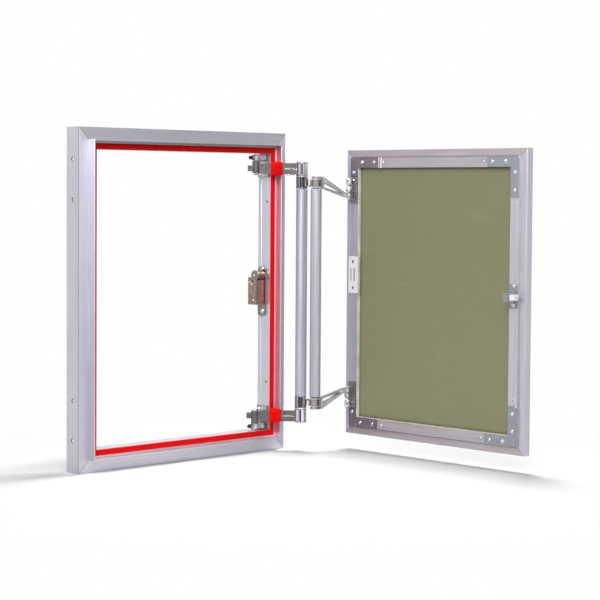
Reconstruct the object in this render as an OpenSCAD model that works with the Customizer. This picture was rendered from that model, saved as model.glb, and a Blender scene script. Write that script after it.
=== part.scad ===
// Tile access panel: an extruded wall frame with a red seal, and a tiled door that is carried
// on a four-pivot swing-out linkage with two vertical tubes.
// Millimetres. X runs across the frame, Y into the wall and Z up. The origin is in the middle
// of the frame's bottom face, and the drawing shows the door swung fully open.

/* [Frame] */
// Outer width of the frame
frame_w = 500; // [440:10:600]
// Outer height of the frame
frame_h = 600; // [560:10:800]
// Depth of the frame's outer wall
frame_d = 34; // [32:1:40]
// Width of one frame member, from its outer wall to the opening
member_w = 38.5; // [38:0.5:42]
// Distance from the outer wall to the tile-stop rib
rib_in = 21.75; // [20:0.25:22]
// Height of the tile-stop rib in front of the flange
rib_h = 15; // [10:1:15]
// Thickness of the rib
rib_t = 2.5; // [2:0.1:3]
// Wall thickness of the frame extrusion
frame_t = 2; // [1.6:0.1:2.4]

/* [Door] */
// Gap from the frame's outer face to the door's edge, seen from the front
door_margin = 31; // [30:0.5:33]
// Depth of the door's tray
tray_d = 14.7; // [14:0.1:16]
// Width of the flat lip that closes on the seal
lip_w = 14; // [13.6:0.2:15]
// Width of the raised web beside the lip
web_w = 19.2; // [18.8:0.2:20]
// Height of the raised web behind the lip
web_h = 4.5; // [4:0.1:5]
// Thickness of the tile backing board
board_t = 12.4; // [9.5:0.1:12.5]

/* [Swing-out linkage] */
// Distance from the frame's inner wall to the frame pivot
pivot_in = 26; // [24:0.5:28]
// Distance of the frame pivot behind the flange
pivot_back = 12.8; // [12:0.1:14]
// Length of the inner arm between its pivots
arm_l = 86.8; // [84:0.2:90]
// Direction of the inner arm when open
arm_a = -45.7; // [-47:0.1:-45]
// Distance between the two tubes
link_l = 32; // [30:0.5:33]
// Direction of the middle link when open
link_a = -78.7; // [-82:0.1:-74]
// Length of the outer link between its pivots
outer_l = 65; // [63:0.5:67]
// Direction of the outer link when open
outer_a = -27.3; // [-30:0.1:-25]
// Angle of the door to the frame when it is fully open
open_angle = 88.5; // [86:0.1:92]
// Distance of the door pivot behind the door's lip
door_pivot_back = 20.9; // [19:0.1:22]
// Distance of the door pivot from the door's edge
door_pivot_in = 25; // [24:0.1:26]
// Outer diameter of the inner tube
tube_d = 21.6; // [20:0.2:22]
// Outer diameter of the outer tube
tube2_d = 21; // [20:0.2:22]

/* [Hardware] */
// Height of the lock's roller
lock_z = 332; // [300:1:360]
// Height of the roller latch on the door's free side
latch_z = 308.6; // [290:0.2:320]
// Distance of the small wall holes from the frame's ends
hole_end = 126; // [110:1:140]
// Distance of the large wall holes from the frame's ends
big_hole_end = 56; // [48:1:64]
// Radius of the small wall holes
hole_r = 2.5; // [2:0.25:3]
// Radius of the large wall holes
big_hole_r = 3.5; // [3:0.25:4]
// Length of the corner plates' legs
plate_leg = 72; // [60:1:80]

/* [Hidden] */
$fn = 48;
half_w = frame_w / 2;
flange_y = -frame_d / 2;
inner_x = half_w - member_w;
big = 100;
eps = 0.02;

// Pivots in plan, with Y counted from the flange's front face
P0 = [inner_x - pivot_in, pivot_back];
P1 = P0 + arm_l * [cos(arm_a), sin(arm_a)];
P2 = P1 + link_l * [cos(link_a), sin(link_a)];
P3 = P2 + outer_l * [cos(outer_a), sin(outer_a)];
door_w = frame_w - 2 * door_margin;
door_h = frame_h - 2 * door_margin;
door_a = -180 + open_angle;
door_at = [P3[0] - door_pivot_in * cos(door_a) - door_pivot_back * sin(door_a),
    P3[1] - door_pivot_in * sin(door_a) + door_pivot_back * cos(door_a)];
web_mid = lip_w + web_w / 2;

// Seal
seal_a = 29;
seal_b = 38.3;
seal_front = 2.8;
slot_mid = 33.8;

// Heights of the upper hinge set; the lower one is its mirror image
arm_z0 = 522.6;
arm_z1 = 544;
barrel_z0 = 519.2;
barrel_z1 = 545;
link_z0 = 495.8;
link_z1 = 518.5;
tube_z1 = 495;
eye_z0 = 500;
eye_z1 = 513;
end_z0 = 480;
end_z1 = 489;
barrel_r = 11.5;
hub_r = 7.2;
eye_r = 8.5;
shaft_r = 4.97;
bush_r = 8;
small_r = 3.96;
door_pin_r = 2.96;
run_gap = 0.05;

alu = [0.76, 0.76, 0.78];
steel = [0.62, 0.62, 0.64];
dark = [0.12, 0.12, 0.13];
red = [0.86, 0.06, 0.05];
nickel = [0.53, 0.47, 0.43];
white = [0.93, 0.92, 0.92];
board_green = [0.55, 0.55, 0.44];

// Moves a piece drawn from the flange's front face to the part's origin
module from_flange() { translate([0, flange_y, 0]) children(); }

// Draws a piece of the upper hinge set, or its mirror image below
module hinge_set(side) {
    from_flange() translate([0, 0, frame_h / 2]) mirror([0, 0, side < 0 ? 1 : 0])
        translate([0, 0, -frame_h / 2]) children();
}

// Draws a piece in the door's own directions: X from the hinge edge to the free edge,
// Y from the lip's back face to the tiled face, Z up
module on_door() {
    from_flange() translate([door_at[0], door_at[1], 0]) rotate([0, 0, door_a]) children();
}

// Cuts an extrusion of a given length at 45 degrees at both ends
module mitred(length, width) {
    intersection() {
        linear_extrude(length) children();
        translate([0, big, 0]) rotate([90, 0, 0]) linear_extrude(2 * big)
            polygon([[0, 0], [width, width], [width, length - width], [0, length]]);
    }
}

// Section of the frame extrusion: X inwards from the outer wall, Y into the wall
module frame_section() {
    seat_l = slot_mid - 2.6;
    seat_r = slot_mid + 2.7;
    seat_d = 5.5;
    inner_end = frame_d - 2;
    groove_at = 23.7;
    groove_d = 1.1;
    cleat_wall = 19.75;
    cleat_wall_d = 12;
    hem = 1.6;
    polygon([[0, 0], [rib_in, 0], [rib_in, -rib_h + 0.5], [rib_in + 0.5, -rib_h],
        [rib_in + rib_t - 0.5, -rib_h], [rib_in + rib_t, -rib_h + 0.5], [rib_in + rib_t, 0],
        [slot_mid - 1.4, 0], [slot_mid - 1.4, frame_t], [seat_l, frame_t], [seat_l, seat_d],
        [seat_r, seat_d], [seat_r, frame_t], [slot_mid + 1.4, frame_t], [slot_mid + 1.4, 0],
        [member_w, 0], [member_w, groove_at - groove_d], [member_w - groove_d, groove_at],
        [member_w, groove_at + groove_d], [member_w, inner_end],
        [member_w - frame_t, inner_end], [member_w - frame_t, seat_d + 1.5],
        [seat_l - 1.3, seat_d + 1.5], [seat_l - 1.3, frame_t], [cleat_wall, frame_t],
        [cleat_wall, cleat_wall_d], [cleat_wall - 1.8, cleat_wall_d],
        [cleat_wall - 1.8, frame_t], [frame_t, frame_t], [frame_t, frame_d - hem],
        [2 * frame_t, frame_d - hem], [2 * frame_t, frame_d], [0, frame_d]]);
}

// Holes through one stile: the wall fixings, and the small ones in the inner wall
module stile_holes() {
    for (z = [hole_end, frame_h - hole_end])
        translate([-1, frame_d / 2, z]) rotate([0, 90, 0]) cylinder(r = hole_r, h = frame_t + 2);
    for (z = [big_hole_end, frame_h - big_hole_end])
        translate([-1, frame_d / 2, z]) rotate([0, 90, 0])
            cylinder(r = big_hole_r, h = frame_t + 2);
    for (z = [hole_end + 3, frame_h - hole_end - 3])
        translate([member_w - frame_t - 1, 9, z]) rotate([0, 90, 0])
            cylinder(r = 1.8, h = frame_t + 2);
}

module frame_stile() {
    difference() {
        mitred(frame_h, member_w) frame_section();
        stile_holes();
    }
}

module frame_stile_left() { color(alu) from_flange() translate([-half_w, 0, 0]) frame_stile(); }

module frame_stile_right() {
    color(alu) from_flange() mirror([1, 0, 0]) translate([-half_w, 0, 0]) frame_stile();
}

module frame_rail_top() {
    color(alu) from_flange() translate([-half_w, 0, frame_h]) rotate([0, 90, 0])
        mitred(frame_w, member_w) frame_section();
}

module frame_rail_bottom() {
    color(alu) from_flange() translate([-half_w, 0, 0]) mirror([0, 0, 1]) rotate([0, 90, 0])
        mitred(frame_w, member_w) frame_section();
}

// Angle pieces that join the members inside the mitres
module corner_cleat() {
    leg = 48;
    lo = frame_t + 0.2;
    hi = 17.75;
    difference() {
        translate([0, frame_t + 6.2, 0]) rotate([90, 0, 0]) linear_extrude(6)
            polygon([[lo, lo], [leg, lo], [leg, hi], [hi, hi], [hi, leg], [lo, leg]]);
        for (p = [[leg - 10, 10], [10, leg - 10], [26, 10], [10, 26]])
            translate([p[0], frame_t + 7, p[1]]) rotate([90, 0, 0]) cylinder(r = 2.1, h = 8);
    }
}

module corner_cleats() {
    color(alu) from_flange()
        for (sx = [0, 1], sz = [0, 1])
            translate([0, 0, frame_h / 2]) mirror([0, 0, sz]) mirror([sx, 0, 0])
                translate([-half_w, 0, -frame_h / 2]) corner_cleat();
}

// Section of the seal: a soft face on the flange and a barbed root in the slot
module seal_section() {
    polygon([[seal_a, -eps], [seal_a, -1.2], [seal_a + 1, -2.4], [seal_a + 2.6, -seal_front],
        [seal_b - 2.6, -seal_front], [seal_b - 1, -2.4], [seal_b, -1.2], [seal_b, -eps],
        [slot_mid + 1, -eps], [slot_mid + 1, 2.3], [slot_mid + 2.2, 2.3], [slot_mid + 1, 4.6],
        [slot_mid - 1, 4.6], [slot_mid - 2.2, 2.3], [slot_mid - 1, 2.3], [slot_mid - 1, -eps]]);
}

module gasket_left() {
    color(red) from_flange() translate([-half_w, 0, 0]) mitred(frame_h, member_w) seal_section();
}

module gasket_right() {
    color(red) from_flange() mirror([1, 0, 0]) translate([-half_w, 0, 0])
        mitred(frame_h, member_w) seal_section();
}

module gasket_top() {
    color(red) from_flange() translate([-half_w, 0, frame_h]) rotate([0, 90, 0])
        mitred(frame_w, member_w) seal_section();
}

module gasket_bottom() {
    color(red) from_flange() translate([-half_w, 0, 0]) mirror([0, 0, 1]) rotate([0, 90, 0])
        mitred(frame_w, member_w) seal_section();
}

// Frame bracket: a plate on the inner wall with a lug that holds the frame pin
lug_z0 = 548;
lug_z1 = 559;
clamp_z = lug_z0 + 5.5;
bracket_t = 3;
bracket_screw_y = 26.5;
bracket_screw_z = [524, 540];
module frame_bracket() {
    difference() {
        union() {
            translate([inner_x - bracket_t, 3.5, 517]) cube([bracket_t, 27.5, 43]);
            translate([P0[0], P0[1] - 6, lug_z0]) cube([inner_x - P0[0] - 1, 16, lug_z1 - lug_z0]);
            translate([P0[0], P0[1], lug_z0]) cylinder(r = hub_r, h = lug_z1 - lug_z0);
            translate([P0[0] - 11, P0[1] - 3.5, lug_z0 + 2]) cube([11, 9, 7]);
        }
        translate([P0[0], P0[1], lug_z0 - 1]) cylinder(r = small_r + 0.03, h = 13);
        translate([P0[0] - 12, P0[1] + 1, clamp_z]) rotate([0, 90, 0])
            cylinder(r = 1.8, h = 9);
        for (z = bracket_screw_z)
            translate([inner_x - bracket_t - 1, bracket_screw_y, z]) rotate([0, 90, 0])
                cylinder(r = 2.1, h = bracket_t + 2);
    }
}
module frame_bracket_upper() { color(steel) hinge_set(1) frame_bracket(); }
module frame_bracket_lower() { color(steel) hinge_set(-1) frame_bracket(); }

// Screw with a domed head at the origin, pointing down the Z axis, and a hex socket
module dome_screw(head_r, head_h, body_r, body_l) {
    difference() {
        rotate_extrude() polygon([[0, -body_l], [body_r, -body_l], [body_r, 0], [head_r, 0],
            [head_r, head_h * 0.4], [head_r * 0.8, head_h * 0.85], [head_r * 0.4, head_h],
            [0, head_h]]);
        translate([0, 0, head_h * 0.45]) cylinder(r = head_r * 0.42, h = head_h, $fn = 6);
    }
}

module bracket_screws() {
    color(steel)
        for (side = [1, -1]) hinge_set(side)
            for (z = bracket_screw_z)
                translate([inner_x - bracket_t, bracket_screw_y, z]) rotate([0, -90, 0])
                    dome_screw(3.8, 2, 2.05, bracket_t);
}

// Black socket screws that clamp the frame pins in their lugs
module clamp_screws() {
    color(dark)
        for (side = [1, -1]) hinge_set(side)
            translate([P0[0] - 11, P0[1] + 1, clamp_z]) rotate([0, -90, 0])
                difference() {
                    union() {
                        cylinder(r = 3.3, h = 4.5);
                        translate([0, 0, -4]) cylinder(r = 1.75, h = 4);
                    }
                    translate([0, 0, 2]) cylinder(r = 1.5, h = 3, $fn = 6);
                }
}

// Frame pin: pressed in the lug above, with a retaining ring below the arm's hub
module frame_pin() {
    translate([P0[0], P0[1], 0]) rotate_extrude()
        polygon([[0, 520.5], [3.2, 520.5], [small_r, 521.3], [small_r, 522.5], [5.6, 522.5],
            [5.6, 524.3], [small_r, 524.3], [small_r, lug_z1 + 1], [0, lug_z1 + 1]]);
}
module frame_pin_upper() { color(steel) hinge_set(1) frame_pin(); }
module frame_pin_lower() { color(steel) hinge_set(-1) frame_pin(); }

// Inner arm: hub on the frame pin, square tail behind it, tall bar and barrel
bar_t = 9;
module inner_arm() {
    hub_z0 = 525;
    difference() {
        union() {
            translate([P0[0], P0[1], hub_z0]) cylinder(r = hub_r, h = 22);
            translate([P0[0], P0[1], 0]) rotate([0, 0, arm_a]) {
                translate([0, bar_t / 2, 0]) rotate([90, 0, 0]) linear_extrude(bar_t)
                    polygon([[0, 527], [4, 527], [17, arm_z0], [arm_l - 4, arm_z0],
                        [arm_l - 4, arm_z1], [17, arm_z1], [4, 541], [0, 541]]);
                translate([-15.5, -4, 528]) cube([12, 8, 11]);
            }
            translate([P1[0], P1[1], barrel_z0])
                cylinder(r = barrel_r, h = barrel_z1 - barrel_z0);
        }
        translate([P0[0], P0[1], 500]) cylinder(r = small_r + run_gap, h = 60);
        translate([P1[0], P1[1], 500]) cylinder(r = shaft_r + eps, h = 60);
        translate([P1[0], P1[1], barrel_z0 + 2]) rotate([0, 0, 224])
            translate([0, -1.6, 0]) cube([barrel_r + 1, 3.2, barrel_z1 - barrel_z0 - 4]);
        // Two shallow grooves along each side of the bar
        translate([P0[0], P0[1], 0]) rotate([0, 0, arm_a])
            for (s = [1, -1]) translate([54, s * bar_t / 2, (arm_z0 + arm_z1) / 2])
                rotate([0, 90, 0]) rotate([0, 0, 45]) translate([-1, -1, 0]) cube([2, 2, 26]);
    }
}
module inner_arm_upper() { color(steel) hinge_set(1) inner_arm(); }
module inner_arm_lower() { color(steel) hinge_set(-1) inner_arm(); }

// Soft red sleeve on the arm, which meets the rib when the door is fully open
module bumper() {
    len = 25.4;
    start = 27;
    half = [8.3, 14];
    r = 3.5;
    translate([P0[0], P0[1], (arm_z0 + arm_z1) / 2]) rotate([0, 0, arm_a])
        translate([start, 0, 0]) rotate([90, 0, 90])
            difference() {
                linear_extrude(len) {
                    square([2 * half[0] - 2 * r, 2 * half[1]], center = true);
                    square([2 * half[0], 2 * half[1] - 2 * r], center = true);
                    for (sx = [1, -1], sy = [1, -1])
                        translate([sx * (half[0] - r), sy * (half[1] - r)]) circle(r = r);
                }
                translate([0, 0, -1]) linear_extrude(len + 2)
                    square([bar_t + 2 * eps, arm_z1 - arm_z0 + 2 * eps], center = true);
            }
}
module bumper_upper() { color(red) hinge_set(1) bumper(); }
module bumper_lower() { color(red) hinge_set(-1) bumper(); }

// Tube with shallow grooves along it
module tube(d, z0, z1) {
    difference() {
        translate([0, 0, z0]) cylinder(d = d, h = z1 - z0);
        translate([0, 0, z0 - 1]) cylinder(d = d - 4, h = z1 - z0 + 2);
        for (a = [0:60:300]) rotate([0, 0, a + 14]) translate([d / 2 + 0.55, 0, z0 - 1])
            cylinder(r = 0.9, h = z1 - z0 + 2, $fn = 16);
    }
}

module inner_tube() {
    color(alu) from_flange() translate([P1[0], P1[1], 0]) tube(tube_d, frame_h - tube_z1, tube_z1);
}

// Shaft of the inner tube: cap on the barrel, running length in the bush, plug in the tube
module hinge_shaft() {
    plug_r = tube_d / 2 - 2 - eps;
    translate([P1[0], P1[1], 0]) rotate_extrude()
        polygon([[0, tube_z1 - 14], [plug_r, tube_z1 - 14], [plug_r, tube_z1],
            [shaft_r, tube_z1], [shaft_r, barrel_z1], [9, barrel_z1], [9, barrel_z1 + 0.8],
            [7.6, barrel_z1 + 1.4], [0, barrel_z1 + 1.4]]);
}
module hinge_shaft_upper() { color(steel) hinge_set(1) hinge_shaft(); }
module hinge_shaft_lower() { color(steel) hinge_set(-1) hinge_shaft(); }

// Middle link: barrel with a window on the bush, and an eye for the outer shaft
slide_at = 17.2;
slide_r = 3.2;
module mid_link() {
    difference() {
        union() {
            translate([P1[0], P1[1], link_z0]) cylinder(r = 11.2, h = link_z1 - link_z0);
            translate([P1[0], P1[1], eye_z0]) rotate([0, 0, link_a]) translate([8.8, -5, 0])
                cube([link_l - 13.6, 10, eye_z1 - eye_z0]);
            translate([P2[0], P2[1], eye_z0]) cylinder(r = eye_r, h = eye_z1 - eye_z0);
        }
        translate([P1[0], P1[1], 480]) cylinder(r = bush_r, h = 60);
        translate([P2[0], P2[1], 480]) cylinder(r = small_r + run_gap, h = 60);
        translate([P1[0], P1[1], link_z0 + 1.6]) rotate([0, 0, 223]) translate([0, -4.2, 0])
            cube([12, 8.4, link_z1 - link_z0 - 3.2]);
        translate([P1[0], P1[1], 0]) rotate([0, 0, link_a]) {
            translate([slide_at - 4.5, -6, eye_z0 + 2.5]) cube([9, 5, eye_z1 - eye_z0]);
            translate([slide_at, 0, 480]) cylinder(r = slide_r + eps, h = 60);
        }
    }
}
module mid_link_upper() { color(steel) hinge_set(1) mid_link(); }
module mid_link_lower() { color(steel) hinge_set(-1) mid_link(); }

// Black bush between the middle link and the shaft, ribbed where the window shows it
module friction_bush() {
    translate([P1[0], P1[1], 0]) difference() {
        translate([0, 0, link_z0 + 0.3]) cylinder(r = bush_r - eps, h = link_z1 - link_z0 - 0.6);
        translate([0, 0, link_z0 - 1]) cylinder(r = shaft_r + run_gap, h = 26);
        for (z = [link_z0 + 4:3.4:link_z1 - 3]) translate([0, 0, z]) rotate_extrude()
            translate([bush_r, 0]) circle(r = 0.6, $fn = 16);
    }
}
module friction_bush_upper() { color(dark) hinge_set(1) friction_bush(); }
module friction_bush_lower() { color(dark) hinge_set(-1) friction_bush(); }

// White washers above and below the middle link's eye. The lower one runs on under the link's
// bar and has a post that holds it there.
module nylon_washers() {
    washer_r = 7.8;
    washer_t = 1.6;
    low = eye_z0 - washer_t;
    color(white)
        for (side = [1, -1]) hinge_set(side) translate([P1[0], P1[1], 0]) rotate([0, 0, link_a]) {
            difference() {
                union() {
                    translate([link_l, 0, low]) cylinder(r = washer_r, h = washer_t - eps);
                    translate([slide_at - 1, -5.5, low])
                        cube([link_l - slide_at, 11, washer_t - eps]);
                    translate([slide_at, 0, low]) cylinder(r = 5.5, h = washer_t - eps);
                    translate([slide_at, 0, low]) cylinder(r = slide_r, h = eye_z1 - low - 1);
                }
                translate([link_l, 0, low - 1]) cylinder(r = small_r + run_gap, h = 4);
            }
            difference() {
                translate([link_l, 0, eye_z1 + eps]) cylinder(r = washer_r, h = washer_t - eps);
                translate([link_l, 0, eye_z1 - 1]) cylinder(r = small_r + run_gap, h = 4);
            }
        }
}

module outer_tube() {
    color(alu) from_flange() translate([P2[0], P2[1], 0])
        tube(tube2_d, frame_h - tube_z1, tube_z1);
}

// Outer link: a fork round the middle link's eye, then two bars that run together at the door
module outer_link() {
    half_t = 4.5;
    fork_z0 = 498;
    fork_z1 = 515;
    difference() {
        union() {
            translate([P2[0], P2[1], 0]) rotate([0, 0, outer_a]) {
                translate([0, 0, link_z0]) cylinder(r = 9, h = fork_z0 - link_z0);
                translate([0, 0, fork_z1]) cylinder(r = 9, h = link_z1 - fork_z1);
                translate([outer_l, 0, end_z0]) cylinder(r = 6.6, h = end_z1 - end_z0);
                translate([0, half_t, 0]) rotate([90, 0, 0]) linear_extrude(2 * half_t)
                    difference() {
                        polygon([[6, link_z0], [12, link_z0], [outer_l - 9, end_z0],
                            [outer_l - 4.2, end_z0], [outer_l - 4.2, end_z1],
                            [outer_l - 9, end_z1], [12, link_z1], [6, link_z1]]);
                        polygon([[14.4, link_z0 + 2.8], [outer_l - 15, end_z0 + 7.6],
                            [14.4, link_z1 - 11.5]]);
                        polygon([[0, fork_z0], [10.5, fork_z0], [10.5, fork_z1],
                            [0, fork_z1]]);
                    }
            }
        }
        translate([P2[0], P2[1], 480]) cylinder(r = small_r + eps, h = 60);
        // Countersink for the shaft's riveted end
        translate([P2[0], P2[1], link_z1 - 0.9]) cylinder(r1 = small_r + eps, r2 = 5.3, h = 0.92);
        translate([P3[0], P3[1], 470]) cylinder(r = door_pin_r + run_gap, h = 40);
    }
}
module outer_link_upper() { color(steel) hinge_set(1) outer_link(); }
module outer_link_lower() { color(steel) hinge_set(-1) outer_link(); }

// Shaft of the outer tube: plug in the tube and a riveted end above the fork
module outer_shaft() {
    plug_r = tube2_d / 2 - 2 - eps;
    translate([P2[0], P2[1], 0]) rotate_extrude()
        polygon([[0, tube_z1 - 14], [plug_r, tube_z1 - 14], [plug_r, tube_z1],
            [small_r, tube_z1], [small_r, link_z1 - 0.9], [5, link_z1 - 0.1], [4.2, link_z1 + 0.2],
            [0, link_z1 + 0.35]]);
}
module outer_shaft_upper() { color(steel) hinge_set(1) outer_shaft(); }
module outer_shaft_lower() { color(steel) hinge_set(-1) outer_shaft(); }

// Section of the door extrusion: X inwards from the edge, Y towards the tiled face
module door_section() {
    w = lip_w + web_w;
    t = 1.8;
    polygon([[0, tray_d], [0, 0.6], [0.6, 0], [lip_w, 0], [lip_w, -web_h], [w, -web_h],
        [w, 2.2], [w - t, 2.2], [w - t, t - web_h], [lip_w + t, t - web_h], [lip_w + t, 2],
        [2, 2], [2, tray_d]]);
}

module door_stile() {
    difference() {
        mitred(door_h, lip_w + web_w) door_section();
        children();
    }
}

module door_stile_hinge() {
    color(alu) on_door() translate([0, 0, door_margin]) door_stile();
}

module door_stile_free() {
    color(alu) on_door() translate([door_w, 0, door_margin]) mirror([1, 0, 0]) door_stile();
}

module door_rail_top() {
    color(alu) on_door() translate([0, 0, door_margin + door_h]) rotate([0, 90, 0])
        mitred(door_w, lip_w + web_w) door_section();
}

module door_rail_bottom() {
    color(alu) on_door() translate([0, 0, door_margin]) mirror([0, 0, 1]) rotate([0, 90, 0])
        mitred(door_w, lip_w + web_w) door_section();
}

module door_board() {
    edge = 2.1;
    color(board_green) on_door()
        translate([edge, tray_d - board_t, door_margin + edge])
            cube([door_w - 2 * edge, board_t - 0.2, door_h - 2 * edge]);
}

// Copies a corner piece to one of the door's corners
module door_corner(free, top) {
    on_door() translate([door_w / 2, 0, frame_h / 2]) mirror([free, 0, 0])
        mirror([0, 0, top]) translate([-door_w / 2, -web_h, -door_h / 2]) children();
}

// Rivets along the two legs of a corner plate: the hinge side has one less, where the door
// bracket covers the plate
rivet_row = web_mid - 0.8;
rail_rivets = [44, 75];
stile_rivets = [42, 73];
function plate_rivets(free) = [for (d = rail_rivets) [d, rivet_row],
    for (i = [0:free]) [rivet_row, stile_rivets[i]]];

// Angle plate on the web at a corner
plate_t = 1.5;
module corner_plate(free) {
    in = lip_w + 0.3;
    out = in + 18.4;
    difference() {
        rotate([90, 0, 0]) linear_extrude(plate_t)
            polygon([[in + 2, in], [in + plate_leg - 2, in], [in + plate_leg, in + 2],
                [in + plate_leg, out], [out, out], [out, in + plate_leg],
                [in + 2, in + plate_leg], [in, in + plate_leg - 2], [in, in + 2]]);
        for (p = plate_rivets(free))
            translate([p[0], 1, p[1]]) rotate([90, 0, 0]) cylinder(r = 2, h = 4);
        for (p = [[33, in + 3], [in + 3, 32]])
            translate([p[0], 1, p[1]]) rotate([90, 0, 0]) cylinder(r = 1.2, h = 4);
    }
}
module corner_plate_hinge_top() { color(steel) door_corner(0, 1) corner_plate(0); }
module corner_plate_hinge_bottom() { color(steel) door_corner(0, 0) corner_plate(0); }
module corner_plate_free_top() { color(steel) door_corner(1, 1) corner_plate(1); }
module corner_plate_free_bottom() { color(steel) door_corner(1, 0) corner_plate(1); }

// Domed rivet standing on the XZ plane and pointing to -Y
module rivet(head_r, head_h, body_r, body_l) {
    rotate([90, 0, 0]) rotate_extrude()
        polygon([[0, -body_l], [body_r, -body_l], [body_r, 0], [head_r, 0],
            [head_r * 0.86, head_h * 0.55], [head_r * 0.5, head_h * 0.92], [0, head_h]]);
}

module corner_rivets() {
    color(steel)
        for (free = [0, 1], top = [0, 1]) door_corner(free, top) {
            for (p = plate_rivets(free))
                translate([p[0], -plate_t, p[1]]) rivet(3.4, 1.1, 1.95, plate_t - eps);
            translate([97, -eps, rivet_row]) rivet(2.2, 0.6, 0, 0);
            if (free == 1) translate([rivet_row, -eps, 97]) rivet(2.2, 0.6, 0, 0);
        }
}

// Door bracket: a plate over the corner plate, with a thick ear and a raised collar that hold
// the door pin, a cheek beside the link's end, and a foot that steps down to the web
bracket_z = [469, 518];
ear_z = [490.6, 496];
bracket_back = -web_h - plate_t - 2.5;
bolt_z = 511;
module door_bracket() {
    pin_y = -door_pivot_back;
    plate_end = door_margin + door_h - lip_w - 0.3 - plate_leg;
    width = 18.6;
    difference() {
        union() {
            translate([lip_w + 0.3, bracket_back, bracket_z[0]])
                cube([width, 2.5, bracket_z[1] - bracket_z[0]]);
            translate([lip_w + 0.3, -web_h - plate_t - 1, bracket_z[0]])
                cube([width, plate_t + 1 - eps, plate_end - 0.3 - bracket_z[0]]);
            translate([door_pivot_in - 6, pin_y, ear_z[0]])
                cube([12, bracket_back - pin_y + 1, ear_z[1] - ear_z[0]]);
            translate([door_pivot_in, pin_y, ear_z[0]])
                cylinder(r = 6, h = ear_z[1] - ear_z[0]);
            translate([door_pivot_in, pin_y, ear_z[1]])
                cylinder(r1 = 6, r2 = 3.8, h = 4.5);
            translate([door_pivot_in + 4.5, bracket_back - 5, 473])
                cube([2, 6, ear_z[0] - 473 + 1]);
            translate([lip_w + 6.3, bracket_back + 1, bolt_z]) rotate([90, 0, 0])
                cylinder(r = 5.4, h = 2.2);
        }
        translate([door_pivot_in, pin_y, 460]) cylinder(r = door_pin_r + eps, h = 50);
        translate([lip_w + 6.3, 0, bolt_z]) rotate([90, 0, 0]) cylinder(r = 2.1, h = 20);
        translate([lip_w + 14, 0, 503]) rotate([90, 0, 0]) cylinder(r = 1.2, h = 20);
    }
}
module on_door_set(side) {
    translate([0, 0, frame_h / 2]) mirror([0, 0, side < 0 ? 1 : 0])
        translate([0, 0, -frame_h / 2]) on_door() children();
}
module door_bracket_upper() { color(steel) on_door_set(1) door_bracket(); }
module door_bracket_lower() { color(steel) on_door_set(-1) door_bracket(); }

module door_bracket_screws() {
    color(dark)
        for (side = [1, -1]) on_door_set(side)
            translate([lip_w + 6.3, bracket_back - 1.2, bolt_z]) rotate([90, 0, 0])
                difference() {
                    union() {
                        cylinder(r = 3.4, h = 1.6);
                        translate([0, 0, -3.6]) cylinder(r = 2.05, h = 3.6);
                    }
                    translate([0, 0, 0.6]) cylinder(r = 1.9, h = 3, $fn = 6);
                }
}

// Door pin with a round adjusting head above the collar and a riveted end below the link
module door_pin() {
    translate([door_pivot_in, -door_pivot_back, 0]) rotate_extrude()
        polygon([[0, 477.4], [3.6, 477.4], [4.4, 478], [4.4, end_z0 - 0.4], [door_pin_r, end_z0 - 0.4],
            [door_pin_r, 502.5], [4.6, 503], [5.2, 503.6], [5.2, 515.4], [4.6, 516.2], [0, 516.8]]);
}
module door_pin_upper() { color(steel) on_door_set(1) door_pin(); }
module door_pin_lower() { color(steel) on_door_set(-1) door_pin(); }

// White strike plate on the hinge stile, with two screw holes and two slits
strike_z = [299, 368.5];
strike_t = 3;
strike_x = [lip_w - 1.6, lip_w + web_w + 3.2];
strike_screw_z = [strike_z[0] + 10, strike_z[1] - 10];
module strike_plate() {
    mid = (strike_z[0] + strike_z[1]) / 2;
    color(white) on_door()
        difference() {
            union() {
                translate([strike_x[0], -web_h - strike_t, strike_z[0]])
                    cube([strike_x[1] - strike_x[0], strike_t - eps, strike_z[1] - strike_z[0]]);
                for (x = [strike_x[0], lip_w + web_w + eps])
                    translate([x, -web_h - strike_t, strike_z[0] + 1.5])
                        cube([1.55, strike_t + 1.4, strike_z[1] - strike_z[0] - 3]);
            }
            for (z = strike_screw_z)
                translate([web_mid, -web_h + 1, z]) rotate([90, 0, 0])
                    cylinder(r = 1.7, h = strike_t + 3);
            translate([web_mid + 3, -web_h - strike_t - 1, mid - 12]) cube([2, strike_t + 2, 24]);
            translate([web_mid - 6, -web_h - strike_t - 1, mid - 12]) cube([1.2, 2, 24]);
        }
}

module strike_screws() {
    color(dark) on_door()
        for (z = strike_screw_z)
            translate([web_mid, -web_h - eps, z]) rotate([90, 0, 0])
                cylinder(r = 1.6, h = strike_t - 1);
}

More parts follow.
